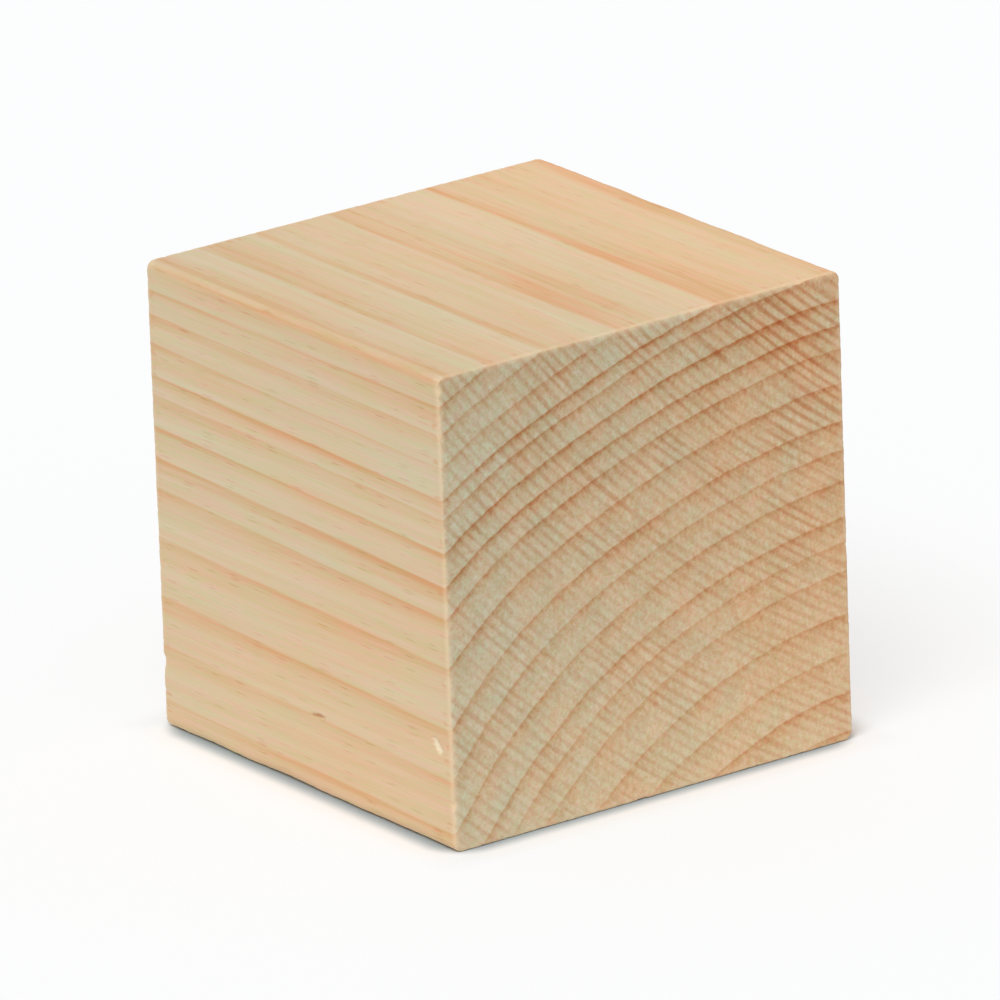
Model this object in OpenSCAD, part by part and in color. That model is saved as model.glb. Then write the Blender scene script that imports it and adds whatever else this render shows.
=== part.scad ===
// Wooden cube: a plain block of pale hardwood, sawn to length from a planed square stick.
// The grain runs along X, so the two sawn end-grain faces are at -X and +X.
// The origin is the centre of the bottom face, and +Z is up. Sizes are in millimetres.

/* [Block] */
// Side of the planed square stick, measured across the grain
stick_side = 40; // [15:0.5:100]
// Length sawn off the stick along the grain; equal to stick_side, it makes a cube
cut_length = 40; // [15:0.5:100]

/* [Edges] */
// Radius sanded on the four long edges, which run with the grain
long_edge_r = 0.8; // [0.6:0.1:5]
// Radius that breaks the sharp rim round each sawn end
end_rim_r = 0.3; // [0.1:0.05:0.5]

/* [Hidden] */
$fn = 96;
wood_color = [0.84, 0.73, 0.59];
// Distance of a long edge's centre line from the middle of the stick
edge_line = stick_side / 2 - long_edge_r;

// A quarter of a disc, in the corner of two axes
module quarter_disc(r) {
  intersection() {
    circle(r);
    square(r);
  }
}

// Lengthwise section of the stick between two of its long edges, with the sawn rims broken
module slab_outline() {
  square([cut_length, stick_side - 2 * end_rim_r], center = true);
  square([cut_length - 2 * end_rim_r, stick_side], center = true);
  for (x = [-1, 1], y = [-1, 1])
    translate([x * (cut_length / 2 - end_rim_r), y * (stick_side / 2 - end_rim_r)])
      circle(end_rim_r);
}

// The flat faces: a slab that reaches from one face of the stick to the opposite one
module slab() {
  linear_extrude(2 * edge_line, center = true) slab_outline();
}

// Half of a long edge's lengthwise section, out from its centre line
module edge_outline() {
  translate([0, -cut_length / 2])
    square([long_edge_r - end_rim_r, cut_length]);
  translate([0, end_rim_r - cut_length / 2])
    square([long_edge_r, cut_length - 2 * end_rim_r]);
  for (end = [0, 1])
    mirror([0, end])
      translate([long_edge_r - end_rim_r, cut_length / 2 - end_rim_r])
        quarter_disc(end_rim_r);
}

// One rounded long edge, whose two ends carry the rim round the corner of the block
module long_edge() {
  rotate([0, 90, 0]) rotate_extrude() edge_outline();
}

// The whole block: two crossing slabs with a rounded edge in each corner of the stick
module wooden_cube() {
  color(wood_color)
    translate([0, 0, stick_side / 2]) {
      for (turn = [0, 90])
        rotate([turn, 0, 0]) slab();
      for (y = [-1, 1], z = [-1, 1])
        translate([0, y * edge_line, z * edge_line]) long_edge();
    }
}

wooden_cube();
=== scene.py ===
# %% [markdown]
# # A wooden cube
#
# The object is one plain block of pale hardwood, sawn to length from a planed square stick and
# lightly sanded. A cube is the easiest shape in Blender, so all the work here goes into what makes it
# wood: edges that a hand has eased and wear has nicked, and a grain that runs right through the block,
# so that a growth ring on the sawn end carries on as a line along the sides.
#
# The frame is the block as it was designed, at its real size and in metres. It says where everything
# goes, and its box gives the finished block its sizes and its place.

# %% Load the frame
import math

import bpy
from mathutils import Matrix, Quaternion, Vector


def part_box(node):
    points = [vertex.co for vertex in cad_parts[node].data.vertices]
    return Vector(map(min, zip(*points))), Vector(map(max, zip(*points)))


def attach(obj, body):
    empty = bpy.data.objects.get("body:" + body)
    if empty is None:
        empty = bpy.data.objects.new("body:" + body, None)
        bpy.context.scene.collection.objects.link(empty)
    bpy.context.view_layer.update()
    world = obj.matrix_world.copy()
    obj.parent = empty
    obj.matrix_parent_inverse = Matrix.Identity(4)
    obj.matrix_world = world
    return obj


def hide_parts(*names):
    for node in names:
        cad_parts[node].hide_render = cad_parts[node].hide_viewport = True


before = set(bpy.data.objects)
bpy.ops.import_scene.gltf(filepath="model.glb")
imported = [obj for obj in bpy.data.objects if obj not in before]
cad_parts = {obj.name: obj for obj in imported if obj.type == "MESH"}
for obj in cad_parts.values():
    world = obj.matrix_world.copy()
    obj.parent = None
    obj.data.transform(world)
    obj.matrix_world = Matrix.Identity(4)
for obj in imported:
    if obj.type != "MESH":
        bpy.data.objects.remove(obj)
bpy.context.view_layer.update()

MM = 0.001
low_corner, high_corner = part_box("wooden_cube")
block_size = high_corner - low_corner
block_middle = (low_corner + high_corner) / 2
print("block", [round(side / MM, 2) for side in block_size], "mm")

# %% [markdown]
# ## Sums that make nodes
#
# Both the shape and the wood are formulas, and in Blender a formula is a tree of small Math nodes.
# Adding each one by hand would hide the idea, so a `Field` stands for a number that a tree works out,
# and Python's own signs add the nodes: `a * b + 1` makes a Multiply and an Add. The same helpers serve
# Geometry Nodes and materials, because both kinds of tree share their maths and noise nodes.

# %% Adding a node
def add_node(tree, kind, inputs=None, output=0, **settings):
    """Adds a node, fills its inputs by name or number, and returns one of its outputs."""
    made = tree.nodes.new(kind)
    for name, value in settings.items():
        setattr(made, name, value)
    for key, value in (inputs or {}).items():
        value = getattr(value, "socket", value)
        if isinstance(value, bpy.types.NodeSocket):
            tree.links.new(value, made.inputs[key])
        else:
            made.inputs[key].default_value = value
    return made.outputs[output]


# %% Numbers that a tree works out
class Field:
    """A number that a node tree works out. Sums written with it become Math nodes of that tree."""

    def __init__(self, socket):
        self.socket = socket
        self.tree = socket.id_data

    def math(self, operation, *others):
        values = dict(enumerate((self, *others)))
        return Field(add_node(self.tree, "ShaderNodeMath", values, operation=operation))

    def __add__(self, other):
        return self.math("ADD", other)

    def __sub__(self, other):
        return self.math("SUBTRACT", other)

    def __mul__(self, other):
        return self.math("MULTIPLY", other)

    def __truediv__(self, other):
        return self.math("DIVIDE", other)

    def __abs__(self):
        return self.math("ABSOLUTE")

    def __neg__(self):
        return self * -1

    def __rsub__(self, other):
        return -self + other

    def at_least(self, other):
        return self.math("MAXIMUM", other)

    def at_most(self, other):
        return self.math("MINIMUM", other)

    def rise(self, start, end):
        """0 below start, 1 above end, and a smooth slope between. It falls if start is the larger."""
        places = {"Value": self, "From Min": start, "From Max": end}
        return Field(add_node(self.tree, "ShaderNodeMapRange", places, interpolation_type="SMOOTHSTEP"))


# %% Vectors, distances and noise
def split(vector):
    """The three numbers of a vector."""
    made = add_node(vector.id_data, "ShaderNodeSeparateXYZ", {0: vector}).node
    return [Field(socket) for socket in made.outputs]


def join(x, y, z=0.0):
    """A vector of three numbers, of which the first is a Field."""
    return add_node(x.tree, "ShaderNodeCombineXYZ", {0: x, 1: y, 2: z})


def distance(a, b):
    """How long the diagonal of a rectangle is."""
    return (a * a + b * b).math("SQRT")


def noise(x, y, z, detail=0.0, roughness=0.5):
    """Smooth noise from about 0 to 1, with features about one unit across."""
    inputs = {"Vector": join(x, y, z), "Scale": 1.0, "Detail": detail, "Roughness": roughness}
    return Field(add_node(x.tree, "ShaderNodeTexNoise", inputs))


# %% [markdown]
# ## The shape of the block
#
# The stick's four long edges are sanded round, and the rims of the two sawn ends are only just broken.
# A Bevel modifier would make every edge alike and perfectly even. Here the shape is a rule in Geometry
# Nodes instead: a fine grid of points on a cube, where each point asks how near it is to an edge and
# moves in to the round. The radius itself wanders along the edge, and here and there it grows into a
# small chip, as the edges of a real block do.
#
# The tree has named inputs for the sizes, so another block can be made without opening it.

# %% An empty tree and its inputs
long_edge_radius = 0.8 * MM
end_rim_radius = 0.3 * MM

wood = bpy.data.materials.new("bare_hardwood")
wood.use_nodes = True
shape = bpy.data.node_groups.new("eased_block", "GeometryNodeTree")
shape.interface.new_socket("Block", in_out="OUTPUT", socket_type="NodeSocketGeometry")
shape_inputs = {
    "Length": ("NodeSocketFloat", block_size.x),
    "Width": ("NodeSocketFloat", block_size.y),
    "Height": ("NodeSocketFloat", block_size.z),
    "Long edge radius": ("NodeSocketFloat", long_edge_radius),
    "End rim radius": ("NodeSocketFloat", end_rim_radius),
    "Seed": ("NodeSocketFloat", 7.0),
    "Wood": ("NodeSocketMaterial", wood),
}
socket_names = {}
for name, (kind, value) in shape_inputs.items():
    socket_names[name] = shape.interface.new_socket(name, in_out="INPUT", socket_type=kind).identifier
shape_in = shape.nodes.new("NodeGroupInput").outputs
print("inputs of the block's tree:", ", ".join(socket_names))

# %% [markdown]
# ### The grid
#
# Only the edges, and two marks on the front, need a fine grid. The rest of each face is flat, so its
# points are first gathered on coarse lines and merged, which leaves few enough triangles.
#
# Positions run from -1 to 1 along each axis while the grid is made, which keeps the sums short. A
# point in the middle of a face has two of its three numbers well inside, and only those are gathered.

# %% Fine and coarse lines
grid_lines = 296     # spaces along each side of the cube
border_lines = 12    # of which these, at each end, stay fine
coarse_step = 8      # spaces that the middle of a face gathers into one
coarse = 2 * coarse_step / grid_lines
past_half = 0.55     # a little over a half, so points midway between two lines all go the same way


def thinned(t, within):
    """Moves a number to the nearest coarse line, where within is 1."""
    gathered = (t / coarse + past_half).math("FLOOR") * coarse
    return t + (gathered - t) * within


# %% The places of two marks, where the grid stays fine
# Across and up the front: a fleck, and a sliver torn out by the saw
fleck_x, fleck_z = 1.8 * MM, 6.8 * MM
tear_x, tear_z = 18.0 * MM, 8.7 * MM
mark_reach = 2.2 * MM


def between_lines(t, middle, half_side):
    """1 between the two coarse lines that lie just past a mark, and 0 elsewhere."""
    low = math.floor((middle - mark_reach) / half_side / coarse) * coarse
    high = math.ceil((middle + mark_reach) / half_side / coarse) * coarse
    hair = coarse / coarse_step / 2
    return t.math("GREATER_THAN", low + hair) * t.math("LESS_THAN", high - hair)


# %% A cube of points, thinned in the middle of each face
lines = {f"Vertices {axis}": grid_lines + 1 for axis in "XYZ"}
grid = add_node(shape, "GeometryNodeMeshCube", {"Size": (2.0, 2.0, 2.0), **lines})
places = split(add_node(shape, "GeometryNodeInputPosition"))
fine_from = 1 - 2 * (border_lines - 0.5) / grid_lines    # beyond this, the lines stay fine
inside = [abs(t).math("LESS_THAN", fine_from) for t in places]
in_middle = (inside[0] + inside[1] + inside[2]).math("GREATER_THAN", 1.5)
on_front = places[1].math("LESS_THAN", -fine_from)
half_length, half_height = block_size.x / 2, block_size.z / 2
for mark_x, mark_z in ((fleck_x, fleck_z), (tear_x, tear_z)):
    patch = between_lines(places[0], mark_x, half_length)
    patch = patch * between_lines(places[2], mark_z - half_height, half_height)
    in_middle = in_middle * (1 - patch * on_front)
thin_places = [thinned(t, within * in_middle) for t, within in zip(places, inside)]
thin = add_node(shape, "GeometryNodeSetPosition", {"Geometry": grid, "Position": join(*thin_places)})
same_place = 0.2 / grid_lines
block = add_node(shape, "GeometryNodeMergeByDistance", {"Geometry": thin, "Distance": same_place})

# %% [markdown]
# ### A map for baking
#
# Each face of the cube gets a cell of its own in a flat map of three columns and two rows, so that the
# wood can be baked to a picture later. The cells are taller than wide, which gives more pixels across
# the grain, where wood is finest. The map is named OFBake.

# %% One cell of the map for each face
map_columns, map_rows = 3, 2
map_fill = 0.97      # share of a cell that its face takes up
facing = add_node(shape, "GeometryNodeInputNormal")
facing = add_node(
    shape, "GeometryNodeFieldOnDomain", {0: facing}, domain="FACE", data_type="FLOAT_VECTOR"
)
nx, ny, nz = split(facing)
# The lower row holds the right end, the left end and the front, and the upper one back, top and bottom
column = (abs(nx) - nx) / 2 + (abs(ny) - ny) + abs(nz) * 1.5 - nz / 2
row = (abs(ny) + ny) / 2 + abs(nz)
gx, gy, gz = split(add_node(shape, "GeometryNodeInputPosition"))
across = gx * (abs(nz) - ny) + gy * nx
upward = gy * nz + gz * (abs(nx) + abs(ny))
map_place = join(
    (column + across * (map_fill / 2) + 0.5) / map_columns,
    (row + upward * (map_fill / 2) + 0.5) / map_rows,
)
map_inputs = {"Geometry": block, "Name": "OFBake", "Value": map_place}
block = add_node(
    shape, "GeometryNodeStoreNamedAttribute", map_inputs, data_type="FLOAT2", domain="CORNER"
)

# %% [markdown]
# ### Easing the edges
#
# The rounding has two steps. Seen along the grain, each corner of the square section becomes a
# quarter circle: how far a point reaches past the circle's centre, sideways and upwards, makes a small
# square, and the point slides along its diagonal until the square is a disc. The rim of a sawn end is
# the same step once more, between the distance out to the rounded section and the distance along.
#
# Where the noise of a rim is highest, its radius grows into a chip. The chips are stored on the points
# as well, and the wood reads them later: torn fibres are paler than sanded ones. They are stored before
# the points move, because a tree works a number out anew from where the points are at that step.

# %% Real places of the grid's points
seed = Field(shape_in["Seed"])
half = [Field(shape_in[name]) / 2 for name in ("Length", "Width", "Height")]
crowding = 2 * border_lines / grid_lines


def place_on_block(t, half_side):
    """Real place of a grid line. The lines crowd together towards the edges, where the round is."""
    from_edge = 1 - abs(t)
    crowded = from_edge * (from_edge / crowding).at_most(1).math("SQRT")
    return t.math("SIGN") * (1 - crowded) * half_side


bx, by, bz = [place_on_block(t, side) for t, side in zip((gx, gy, gz), half)]

# %% Radii that wander along the edges
edge_wave = 6 * MM          # how long the waves along a long edge are
rim_wave = 1.1 * MM         # and along a sawn rim
chip_wave = 2.4 * MM        # how far a chip is from the next
far = 25 * MM               # across an edge, its radius hardly changes
least, spread = 0.55, 0.9   # a radius has this least share of its size, and its wave adds up to that
chip_growth = 1.6           # a chip adds so many times the radius
most_of_edge = 0.9          # a rim never takes more than this share of the long edge's radius

slow_wander = noise(bx / edge_wave + seed, by / far, bz / far, detail=1)
edge_radius = Field(shape_in["Long edge radius"]) * (slow_wander * spread + least)
rim_wander = noise(bx / far, by / rim_wave + seed, bz / rim_wave, detail=2)
chips = noise(bx / far + seed, by / chip_wave, bz / chip_wave, detail=1).rise(0.66, 0.78)
rim_radius = Field(shape_in["End rim radius"]) * (rim_wander * spread + least + chips * chip_growth)
rim_radius = rim_radius.at_most(edge_radius * most_of_edge)

# %% The two rounding steps
TINY = 1e-9


def past(place, centre):
    """How far a place reaches past a centre on its own side, or 0."""
    return (abs(place) - centre).at_least(0)


def to_disc(a, b):
    """The factor by which a point of a square slides along its diagonal to make the square a disc."""
    return a.at_least(b) / distance(a, b).at_least(TINY)


out_y = past(by, half[1] - edge_radius)
out_z = past(bz, half[2] - edge_radius)
round_long = to_disc(out_y, out_z)
outward = out_y.at_least(out_z)
over_rim = (outward - (edge_radius - rim_radius)).at_least(0)
over_end = past(bx, half[0] - rim_radius)
round_rim = to_disc(over_rim, over_end)
drawn_in = (outward - over_rim + over_rim * round_rim) / outward.at_least(TINY)
section_scale = round_long * drawn_in

# %% Move the points
eased = join(
    bx.math("SIGN") * (abs(bx) - over_end + over_end * round_rim),
    by.math("SIGN") * (abs(by) - out_y + out_y * section_scale),
    bz.math("SIGN") * (abs(bz) - out_z + out_z * section_scale) + half[2],
)
chip_inputs = {"Geometry": block, "Name": "chips", "Value": chips}
block = add_node(
    shape, "GeometryNodeStoreNamedAttribute", chip_inputs, data_type="FLOAT", domain="POINT"
)
block = add_node(shape, "GeometryNodeSetPosition", {"Geometry": block, "Position": eased})

# %% [markdown]
# ### Two marks on the front
#
# This block has two marks of its own, low on its front: a short brown fleck, and near the sawn end a
# pale sliver where the saw tore fibres out. Each is a slanted oval with a ragged rim. It could be a
# texture painted by hand, but as a rule of place it works in both trees, so the shape sinks and the
# wood changes colour at the very same spot.

# %% The fleck and the torn sliver
front_y = low_corner.y / MM


def from_oval(across, up, middle_x, middle_z, long, wide, slant):
    """Distance from the middle of a slanted oval, which is 1 on its rim. In millimetres."""
    from_x, from_z = across - middle_x / MM, up - middle_z / MM
    along = from_x * math.cos(slant) + from_z * math.sin(slant)
    aside = from_z * math.cos(slant) - from_x * math.sin(slant)
    return distance(along / long, aside / wide)


def front_marks(across, depth, up):
    """The fleck and the torn sliver, each 1 where it is deepest and 0 past its ragged rim."""
    ragged = (noise(across / 0.7, depth / 9, up / 0.25, detail=2) - 0.5) * 1.3
    near_front = depth.rise(front_y + 1.0, front_y + 0.4)
    fleck = from_oval(across, up, fleck_x, fleck_z, long=1.3, wide=0.24, slant=0.12)
    tear = from_oval(across, up, tear_x, tear_z, long=1.0, wide=0.5, slant=-0.8)
    return [(mark + ragged).rise(1.0, 0.4) * near_front for mark in (fleck, tear)]


# %% [markdown]
# ### Small dents
#
# Bare wood bruises. Close to the edges the surface is pushed in by up to a twentieth of a millimetre,
# along its own normal, so the block never grows. The two marks sink in the same way.

# %% Dents along the edges and in the marks
bruise_depth, fleck_depth, tear_depth = 0.05 * MM, 0.06 * MM, 0.16 * MM
bruise_length, bruise_width = 0.9 * MM, 0.5 * MM


def edge_distance(to_faces):
    """Distance from the nearest edge: the middle one of the distances to three faces."""
    smaller, larger = to_faces[0].at_most(to_faces[1]), to_faces[0].at_least(to_faces[1])
    return smaller.at_least(larger.at_most(to_faces[2]))


px, py, pz = split(add_node(shape, "GeometryNodeInputPosition"))
to_edge = edge_distance([half[0] - abs(px), half[1] - abs(py), half[2] - abs(pz - half[2])])
near_edge = to_edge.rise(1.3 * MM, 0.2 * MM)
bruise = noise(px / bruise_length, py / bruise_width + seed, pz / bruise_width, detail=1).rise(0.5, 0.8)
fleck_dip, tear_dip = front_marks(px / MM, py / MM, pz / MM)
dip = near_edge * bruise * bruise_depth + fleck_dip * fleck_depth + tear_dip * tear_depth
normal = add_node(shape, "GeometryNodeInputNormal")
dent = add_node(shape, "ShaderNodeVectorMath", {0: normal, "Scale": -dip}, operation="SCALE")
block = add_node(shape, "GeometryNodeSetPosition", {"Geometry": block, "Offset": dent})

# %% The end of the tree
block = add_node(shape, "GeometryNodeSetShadeSmooth", {"Geometry": block})
block = add_node(shape, "GeometryNodeRealizeInstances", {"Geometry": block})
block = add_node(shape, "GeometryNodeSetMaterial", {"Geometry": block, "Material": shape_in["Wood"]})
shape.links.new(block, shape.nodes.new("NodeGroupOutput").inputs[0])
print("the block's tree has", len(shape.nodes), "nodes")

# %% [markdown]
# ### A plain mesh
#
# A modifier shows the tree's result on an object that has no mesh of its own. Its inputs are set by
# their identifiers. The result is then copied as a plain mesh, which everything can read, and the
# object that made it is removed.

# %% Make the block a plain mesh
maker = bpy.data.objects.new("maker", bpy.data.meshes.new("maker"))
bpy.context.collection.objects.link(maker)
modifier = maker.modifiers.new("eased_block", "NODES")
modifier.node_group = shape
for name, (kind, value) in shape_inputs.items():
    modifier[socket_names[name]] = value
evaluated = maker.evaluated_get(bpy.context.evaluated_depsgraph_get())
block_mesh = bpy.data.meshes.new_from_object(evaluated)
block_mesh.name = "wooden_block"
wooden_block = bpy.data.objects.new("wooden_block", block_mesh)
bpy.context.collection.objects.link(wooden_block)
bpy.data.objects.remove(maker)
block_mesh.calc_loop_triangles()
print("block:", len(block_mesh.vertices), "points,", len(block_mesh.loop_triangles), "triangles")

# %% [markdown]
# ## The wood
#
# Wood is a solid texture: the pattern fills the block and the faces only cut it open. So everything
# below is worked out from Object coordinates, in millimetres. The tree grew around a pith that lies
# outside the block, below its back edge, and the grain runs along X.
#
# Rings are distances from the pith. A wave texture would space them evenly, but years differ, so each
# year has its own width and its own darkness of late wood, read off the sawn end. A Float Curve turns
# the distance into years, and the fraction of a year is how far that year's growth has come.

# %% Coordinates in millimetres
skin = wood.node_tree
skin.nodes.clear()
coordinates = add_node(skin, "ShaderNodeTexCoord").node.outputs
in_mm = {0: coordinates["Object"], "Scale": 1 / MM}
x, y, z = split(add_node(skin, "ShaderNodeVectorMath", in_mm, operation="SCALE"))
block_length, block_width, block_height = [side / MM for side in block_size]
back_share, up_share = y / block_width, z / block_height - 0.5       # from -0.5 to 0.5 over the block
end_grain = abs(split(coordinates["Normal"])[0]).rise(0.55, 0.95)    # 1 on the sawn ends


def grain_noise(long, wide, detail=2.0, roughness=0.5):
    """Noise from about -0.5 to 0.5, with features that are long with the grain and wide across it."""
    return noise(x / long, y / wide, z / wide, detail, roughness) - 0.5


# %% Distance from the pith
pith_y, pith_z = 22.4, -31.2          # where the pith passes the right sawn end
front_slope = 0.019                   # on the front, the grain falls this steeply to the right
swell_y, swell_z = -20.0, 24.0        # a place where the rings lie further out
swell_reach, swell_height = 11.0, 1.75

slope = y.rise(8.0, -20.0) * z.rise(40.0, 32.0) * front_slope
from_pith_y = y - pith_y
from_pith_z = z - pith_z + (x - block_length / 2) * slope
to_swell = distance(y - swell_y, z - swell_z) / swell_reach
swell = (to_swell * to_swell * -0.5).math("EXPONENT") * swell_height
ring_wander = grain_noise(long=60, wide=7, detail=1) * 0.4
fine_wander = grain_noise(long=15, wide=1.3) * 0.2
ring_distance = distance(from_pith_y, from_pith_z) - swell + ring_wander + fine_wander

# %% Years of growth
first_year = 32.3                     # distance from the pith to the first whole year
# From the pith outwards: how wide each year is, and how dark its late wood
years = (
    (3.3, 0.60), (3.3, 0.40), (3.4, 0.45), (3.6, 0.40), (2.4, 0.38), (2.1, 0.52), (3.1, 0.50),
    (2.7, 0.45), (2.5, 0.57), (3.2, 0.53), (2.9, 0.57), (2.0, 0.74), (2.2, 0.76), (2.4, 0.62),
    (1.4, 0.86), (2.5, 0.46), (2.5, 0.47), (2.2, 0.55), (2.0, 0.50), (2.6, 0.45),
)
all_years = sum(width for width, darkness in years)
print(len(years), "years of growth,", round(all_years, 1), "mm")

growth = (ring_distance - first_year) / all_years
calendar = add_node(skin, "ShaderNodeFloatCurve", {"Value": growth}).node
curve = calendar.mapping.curves[0]
reached = 0.0
for number, (width, darkness) in enumerate(years, start=1):
    reached += width / all_years
    if number < len(years):
        curve.points.new(reached, number / len(years))
for point in curve.points:
    point.handle_type = "VECTOR"
calendar.mapping.update()
year = Field(calendar.outputs[0]) * len(years)
season = year.math("FRACT")

# %% [markdown]
# ## Late wood
#
# A year ends in late wood: a band that darkens towards winter, and a dark line at its very end. A
# Color Ramp without blending serves as a table here: its red is the year's darkness, and its green is
# the year's width. The line fades over some distance in millimetres, so it stays as thin in a wide
# year as in a narrow one, and its strength wanders along the ring.

# %% Bands and lines of late wood
widest = 5.0
table_place = (year.math("FLOOR") + 0.5) / len(years)
this_year = add_node(skin, "ShaderNodeValToRGB", {0: table_place}).node
ramp = this_year.color_ramp
ramp.interpolation = "CONSTANT"
for number, (width, darkness) in enumerate(years):
    stop = ramp.elements[0] if number == 0 else ramp.elements.new(number / len(years))
    stop.color = (darkness, width / widest, 0, 1)
ramp.elements.remove(ramp.elements[-1])
year_darkness, year_width = split(this_year.outputs[0])[:2]
to_winter = (1 - season) * year_width * widest
along_ring = grain_noise(long=30, wide=4) * 1.1 + 1.0
late_strength = to_winter.rise(0.0, 0.2) * year_darkness * along_ring
late_band = season * season * late_strength


def late_line(fading):
    """The dark line that ends each year, which fades towards the pith over some millimetres."""
    return (to_winter / -fading).math("EXPONENT") * late_strength


# %% [markdown]
# ## Fibres, pores and rays
#
# Up close the rings are only half of what makes wood. Fibres and vessels run along the grain, so their
# noise is stretched along X: the same field draws streaks on a side and specks on a sawn end. Pores are
# the middles of long Voronoi cells, and each cell also lends its fibres a hue of their own. Rays run
# outwards from the pith, so their noise is laid out in the angle around it.

# %% What runs along the grain
streaks = grain_noise(long=8, wide=0.16)
bands = grain_noise(long=50, wide=0.9)
patches = grain_noise(long=25, wide=9)
mottle = grain_noise(long=16, wide=2.2, detail=3)
speckle = grain_noise(long=2, wide=0.4, roughness=0.65)

cell_length, cells_per_mm = 3, 4.2
cell_place = join(x / cell_length, y * cells_per_mm, z * cells_per_mm)
cells = add_node(skin, "ShaderNodeTexVoronoi", {"Vector": cell_place, "Scale": 1.0}).node
cell_width, cell_hue = split(cells.outputs["Color"])[:2]
pore_size = cell_width.rise(0.45, 1.0) * 0.3
pores = (Field(cells.outputs["Distance"]) - pore_size).rise(0.05, -0.1)

# %% What runs outwards from the pith
ray_width, ray_length, ray_height = 0.2, 5, 1.2
ray_radius = 55                       # so far from the pith, a ray has just that width
angle = from_pith_z.math("ARCTAN2", from_pith_y)
round_pith = angle * ray_radius / ray_width
rays = noise(round_pith, ring_distance / ray_length, x / ray_height, detail=1).rise(0.5, 0.8)
print("the grain takes", len(skin.nodes), "nodes")

# %% [markdown]
# ## The sawn ends
#
# The saw leaves fine lines across the end grain, one for each small step that the stick was fed, and
# sanding has only half removed them. They are arcs of the blade's circle, about 130 mm in radius, so
# they bend a little. A Wave Texture could draw such rings, but all alike. Here each line has its own
# bite, the steps are uneven, and some patches are sanded more than others. The lines run down towards
# the back of the block, and they are deepest high up at the back.

# %% Lines of the saw
blade_y, blade_z = 84.0, 118.0        # middle of the blade's circle
blade_radius = math.hypot(blade_y, blade_z - block_height / 2)
saw_step = 0.84                       # from line to line
print("saw lines every", saw_step, "mm, bent to a radius of", round(blade_radius), "mm")

this_end = x / 50                     # nearly one number on each end, so that the two ends differ
lines_out = distance(y - blade_y, z - blade_z) / saw_step
along_line = (y - z) / 10
unevenness = noise(lines_out / 4, along_line / 3, this_end, detail=1) * 1.6
saw_line = lines_out + unevenness
groove = abs(saw_line.math("FRACT") - 0.5).rise(0.34, 0.06)
bite = noise(saw_line.math("FLOOR") * 0.37, along_line, this_end, detail=1).rise(0.3, 0.7)
scratches = noise(lines_out * 2.3, along_line / 2, this_end, detail=1).rise(0.5, 0.8)

# %% How much of the lines is left
unsanded = noise(y / 6, z / 6, x / 20, detail=1).rise(0.3, 0.7) * 0.45 + 0.55
saw_depth = unsanded * (z.rise(8.0, 34.0) * (back_share * 0.65 + 0.35) + 0.62)
saw_marks = (groove * (bite * 0.65 + 0.35) * 0.7 + scratches * 0.3) * saw_depth * end_grain

# %% [markdown]
# ## Colour
#
# On a planed side, late wood differs from early wood in hue more than in lightness: both reflect the
# same red, and late wood takes away green and blue. The sawn ends are darker, because light sinks into
# the open fibres. Each is a Color Ramp from cream to amber, and one number, the tone, picks a place.
# A tone is a sum of what darkens the wood and what lightens it, each with its own weight.

# %% Colours, ramps and mixes
def from_screen(red, green, blue):
    """A colour as a picture shows it, where 255 is white, as the linear light that Blender mixes."""
    shares = [level / 255 for level in (red, green, blue)]
    linear = [s / 12.92 if s <= 0.04045 else ((s + 0.055) / 1.055) ** 2.4 for s in shares]
    return (*linear, 1.0)


def colour_ramp(tone, colours):
    """Evenly spaced colours, of which tone picks one."""
    made = add_node(skin, "ShaderNodeValToRGB", {0: tone}).node
    stops = made.color_ramp.elements
    while len(stops) < len(colours):
        stops.new(0.5)
    for number, (stop, colour) in enumerate(zip(stops, colours)):
        stop.position = number / (len(colours) - 1)
        stop.color = from_screen(*colour)
    return made.outputs[0]


def mix(share, base, other, blend="MIX"):
    """Colour base, with other laid over it by share."""
    # A Mix node has sockets for every kind of value, and these are the ones for colours
    factor, first, second, result = 0, 6, 7, 2
    inputs = {factor: share, first: base, second: other}
    return add_node(skin, "ShaderNodeMix", inputs, result, data_type="RGBA", blend_type=blend)


# %% Soft patches under the top
patch_length, patch_depth = 9.0, 4.0
# Where the top is warmer or paler than its rings: across, back, how wide, and how much
top_patches = (
    (12.0, 0.0, 2.6, 0.30), (-14.0, -12.4, 1.6, 0.30), (-15.0, 6.0, 1.7, -0.30),
    (6.0, 13.2, 1.5, -0.22), (-13.0, 10.0, 1.4, -0.25), (14.0, 11.0, 1.0, 0.12),
)


def patch_under_top(middle_x, middle_y, wide):
    """1 in the middle of a soft patch on the top, long with the grain, and 0 well away from it."""
    off_x = (x - middle_x) / patch_length
    off_y = (y - middle_y) / wide
    off_z = (z - block_height) / patch_depth
    return ((off_x * off_x + off_y * off_y + off_z * off_z) * -0.5).math("EXPONENT")


# %% Tones of the sides and of the ends
grain = bands * 0.9 + patches * 0.6 + streaks * 0.6 + pores * 0.22
side_tone = grain + mottle * 0.25 + late_line(fading=0.8) * 0.56 + late_band * 0.58 + 0.19
for middle_x, middle_y, wide, extra in top_patches:
    side_tone = side_tone + patch_under_top(middle_x, middle_y, wide) * extra
end_tone = grain * 0.5 + late_line(fading=0.4) * 0.74 + late_band * 0.42
end_tone = end_tone + speckle * 0.85 + pores * 0.2 - rays * 0.12
# Painted light: the up_share and z terms make the sawn ends lighter low down, as from the floor below
end_tone = end_tone + (back_share + up_share) * 0.10 + z.rise(2.0, 14.0) * 0.07 + 0.18
side_colour = colour_ramp(side_tone, [(241, 205, 167), (239, 193, 149), (235, 165, 111)])
end_colour = colour_ramp(end_tone, [(229, 208, 175), (218, 175, 133), (195, 123, 70)])
wood_colour = mix(end_grain, side_colour, end_colour)
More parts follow.
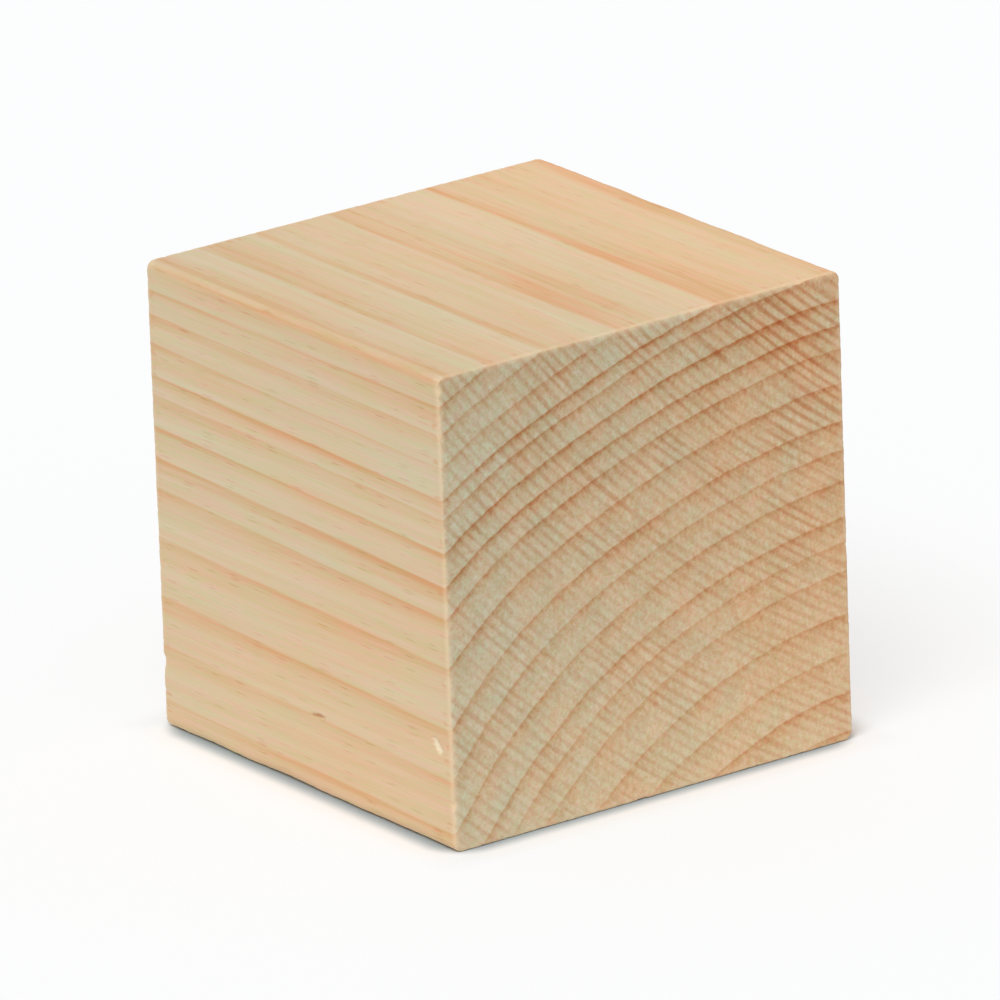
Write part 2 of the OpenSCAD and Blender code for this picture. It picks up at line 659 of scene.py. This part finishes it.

# %% [markdown]
# ### Hue
#
# One ramp alone looks printed, because everything lies on the same line of hues. So the colour is
# multiplied by two faint ones: the block is warmer at the back, towards the pith, and warmer low down,
# which is painted light that the floor throws up; and its fibres lean now to green and now to pink.
# Last, the saw's lines are darker and redder.

# %% Warmth with painted bounce light low down, blush and the dark of the saw's lines
# Painted light: the up_share terms make the block warmer low down, as from light that the floor throws
# up
warmth_and_bounce_light = back_share * 0.62 - up_share * 0.38 + patches * 0.5 + mottle * 0.4 + 0.5
warmth_and_bounce_light = warmth_and_bounce_light + (back_share * 0.14 - up_share * 0.20 + mottle * 0.6) * end_grain
warm_and_bounce_colour = colour_ramp(warmth_and_bounce_light, [(228, 248, 255), (255, 254, 246)])
wood_colour = mix(1.0, wood_colour, warm_and_bounce_colour, "MULTIPLY")
blush_colour = colour_ramp(cell_hue + mottle * 0.8, [(250, 258, 250), (260, 252, 260)])
wood_colour = mix(1.0, wood_colour, blush_colour, "MULTIPLY")
wood_colour = mix(saw_marks, wood_colour, from_screen(229, 183, 152), "MULTIPLY")

# %% [markdown]
# ## Wear and marks
#
# Wear keeps to the edges, and the distance from the nearest edge says where they are, with nothing to
# paint by hand. The long edges are painted a little darker, as shade along their rounds, except low
# down. The rims of the sawn ends are paler, and so are the torn fibres in their chips. Just inside the
# rims, the saw left small orange ticks where it broke through the sides: bruised fibres, with painted
# shade for the small gaps there. Then come the two marks on the front.

# %% Where the wear and the painted edge shade are
to_ends = block_length / 2 - abs(x)
to_edge_mm = edge_distance(
    [to_ends, block_width / 2 - abs(y), block_height / 2 - abs(z - block_height / 2)]
)
at_end = to_ends.rise(1.2, 0.4)
# Painted shade: the long edges are darker along their rounds, except low down
painted_edge_shade = to_edge_mm.rise(1.1, 0.2) * (1 - at_end) * z.rise(4.0, 12.0)
rubbed = to_edge_mm.rise(0.7, 0.1) * at_end * grain_noise(long=3, wide=3).rise(-0.25, 0.1)
chipped = Field(add_node(skin, "ShaderNodeAttribute", output=2, attribute_name="chips"))
torn_fibres = chipped * to_edge_mm.rise(0.9, 0.3) * at_end
inside_rim = to_ends.rise(1.3, 0.8) * to_ends.rise(0.2, 0.5)
# Partly painted shade: the ticks are bruised fibres, and their darkness also stands for shade in small
# gaps at the rims
ticks = grain_noise(long=2, wide=0.55, detail=1).rise(0.08, 0.22) * inside_rim * (1 - end_grain)
fleck, tear = front_marks(x, y, z)

# %% Colours of the wear, the painted edge shade and the two marks
# Painted shade along the rounds of the long edges
wood_colour = mix(painted_edge_shade * 0.24, wood_colour, from_screen(214, 160, 112))
# The ticks: bruised fibres, and partly painted shade of small gaps
wood_colour = mix(ticks * 0.4, wood_colour, from_screen(214, 146, 96))
wood_colour = mix(rubbed * 0.35, wood_colour, from_screen(238, 214, 180))
wood_colour = mix(torn_fibres * 0.5, wood_colour, from_screen(236, 208, 170))
wood_colour = mix(fleck * 0.65, wood_colour, from_screen(176, 110, 66))
wood_colour = mix(tear * (streaks * 0.8 + 0.75), wood_colour, from_screen(246, 232, 200))

# %% [markdown]
# ## Relief and gloss
#
# Edges, chips, dents and marks are in the mesh already. What is finer than its grid is bump: fibres,
# open pores, the specks of the end grain and the saw's grooves make a height map, and a Bump node turns
# it into tilted normals. Bare wood is nearly matt, and the sawn ends are more so.

# %% Height, roughness and the finished material
relief_depth = 0.03 * MM
relief_height = streaks * 0.6 - pores * 0.7 - saw_marks * 0.9 + speckle * (end_grain * 0.5 + 0.1)
bump_inputs = {"Height": relief_height, "Distance": relief_depth, "Strength": 1.0}
relief = add_node(skin, "ShaderNodeBump", bump_inputs)
roughness = end_grain * 0.14 + streaks * 0.2 + 0.62
finish = add_node(skin, "ShaderNodeBsdfPrincipled").node
finish.inputs["IOR"].default_value = 1.45
finish.inputs["Specular IOR Level"].default_value = 0.35
skin.links.new(wood_colour, finish.inputs["Base Color"])
skin.links.new(roughness.socket, finish.inputs["Roughness"])
skin.links.new(relief, finish.inputs["Normal"])
skin.links.new(finish.outputs[0], skin.nodes.new("ShaderNodeOutputMaterial").inputs[0])
print("the wood has", len(skin.nodes), "nodes")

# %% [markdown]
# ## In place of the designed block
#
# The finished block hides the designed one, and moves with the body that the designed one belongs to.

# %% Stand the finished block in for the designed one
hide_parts("wooden_cube")
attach(wooden_block, "root")

# %% [markdown]
# ## Floor
#
# The block stands on a plain white floor that runs out of sight. A white floor under plain light looks
# grey in a picture, and more light would bleach the block. So the floor is whiter to the eye than to
# the light that it sends back, and further than a few millimetres from the block the eye sees a share
# of it as plain white, which thins the shadow out. Right beside the block the shadow is whole, and a
# thin line of shade in the floor's own colour grounds it. The floor is a little cool, to even out the
# warm light that the wood throws on it.

# %% What the eye sees
def camera_share(tree):
    """1 for rays that show a surface to the eye, straight or in a reflection, and 0 for others."""
    path = add_node(tree, "ShaderNodeLightPath").node.outputs
    share = Field(path["Is Camera Ray"])
    for name in ("Is Glossy Ray", "Is Transmission Ray"):
        share = share.at_least(Field(path[name]))
    return share


# %% A flat square for the floor
floor_reach = 3.0
floor_mesh = bpy.data.meshes.new("floor")
corner_signs = ((-1, -1), (1, -1), (1, 1), (-1, 1))
corners = [(sx * floor_reach, sy * floor_reach, low_corner.z) for sx, sy in corner_signs]
floor_mesh.from_pydata(corners, [], [(0, 1, 2, 3)])
floor = bpy.data.objects.new("floor", floor_mesh)
bpy.context.collection.objects.link(floor)
paper = bpy.data.materials.new("white_floor")
paper.use_nodes = True
floor_mesh.materials.append(paper)

# %% Shade beside the block
sheet = paper.node_tree
sheet.nodes.clear()
to_eye = camera_share(sheet)
shade_reach = 1.7 * MM      # the line of shade ends so far out from the block
shade_under = 0.2 * MM      # and so far in under the block it is at its darkest
shade_round = 3 * MM        # it goes round the block's corners with a radius
floor_x, floor_y = split(add_node(sheet, "ShaderNodeTexCoord", output="Object"))[:2]
beside_x, beside_y = abs(floor_x) - block_size.x / 2, abs(floor_y) - block_size.y / 2
corner_distance = distance((beside_x + shade_round).at_least(0), (beside_y + shade_round).at_least(0))
shade = to_eye * (corner_distance - shade_round).rise(shade_reach, -shade_under)

# %% White to the eye
floor_bounce, floor_white = 0.9, 1.0
floor_tint = (0.97, 0.985, 1.0)
shade_dark = (0.57, 0.52, 0.50)       # what the line of shade takes from each colour
washed_out = 0.6                      # share of the floor that the eye sees as plain white
washed_from, washed_to = 0.8 * MM, 4 * MM   # which grows from none to this share, out from the block
level = to_eye * (floor_white - floor_bounce) + floor_bounce
floor_colour = join(*[level * (tint - shade * dark) for tint, dark in zip(floor_tint, shade_dark)])
matt = add_node(sheet, "ShaderNodeBsdfDiffuse", {"Color": floor_colour})
white = add_node(sheet, "ShaderNodeEmission", {"Color": (1, 1, 1, 1), "Strength": 1.0})
plain_white = to_eye * beside_x.at_least(beside_y).rise(washed_from, washed_to) * washed_out
seen = add_node(sheet, "ShaderNodeMixShader", {0: plain_white, 1: matt, 2: white})
sheet.links.new(seen, sheet.nodes.new("ShaderNodeOutputMaterial").inputs[0])
print("the floor has", len(sheet.nodes), "nodes")

# %% [markdown]
# ## Light
#
# The light is a bright room, with one far lamp that is high up and a little to the left of the camera.
# The lamp has a wide spread, so its shadows are soft, as from a large window. Together they light the
# top of the block at a level where a colour looks as it was written.

# %% A bright room
room_light = 0.58
room = bpy.data.worlds.new("bright_room")
bpy.context.scene.world = room
room.use_nodes = True
air = room.node_tree
air.nodes.clear()
room_level = camera_share(air) * (1 - room_light) + room_light
glow = add_node(air, "ShaderNodeBackground", {"Color": (1, 1, 1, 1), "Strength": room_level})
air.links.new(glow, air.nodes.new("ShaderNodeOutputWorld").inputs[0])

# %% A soft lamp
lamp_strength, lamp_spread = 1.49, math.radians(33)
lamp_way = Vector((0.15, -0.23, 0.40)).normalized()
lamp_data = bpy.data.lights.new("soft_lamp", "SUN")
lamp_data.energy = lamp_strength
lamp_data.angle = lamp_spread
lamp = bpy.data.objects.new("soft_lamp", lamp_data)
lamp.rotation_mode = "QUATERNION"
lamp.rotation_quaternion = lamp_way.to_track_quat("Z", "Y")
bpy.context.collection.objects.link(lamp)
print("the lamp is", round(math.degrees(math.asin(lamp_way.z))), "degrees up")

# %% [markdown]
# ## Camera
#
# The camera stands far back, 33 sides of the block away, and looks down by 19 degrees with a long
# lens, so the block's edges stay nearly parallel. It leans by two degrees: the block stood off to one
# side of a wider picture, where upright edges lean outwards.

# %% Camera
azimuth, elevation, lean = math.radians(54.25), math.radians(19.2), math.radians(-2.1)
camera_distance = 33 * block_size.x
sensor_width = 36.0
picture_lens = 117.5    # millimetres, for the whole picture that the block was part of
close_up = 5.0
camera_way = Vector((
    math.sin(azimuth) * math.cos(elevation),
    -math.cos(azimuth) * math.cos(elevation),
    math.sin(elevation),
))
camera_data = bpy.data.cameras.new("camera")
camera_data.sensor_width = sensor_width
camera_data.lens = picture_lens * close_up
camera = bpy.data.objects.new("camera", camera_data)
camera.location = block_middle + camera_way * camera_distance
camera.rotation_mode = "QUATERNION"
camera.rotation_quaternion = camera_way.to_track_quat("Z", "Y") @ Quaternion((0, 0, 1), lean)
bpy.context.collection.objects.link(camera)
bpy.context.scene.camera = camera
bpy.context.scene.view_settings.view_transform = "Standard"
print("the camera is", round(camera_distance, 2), "m away")
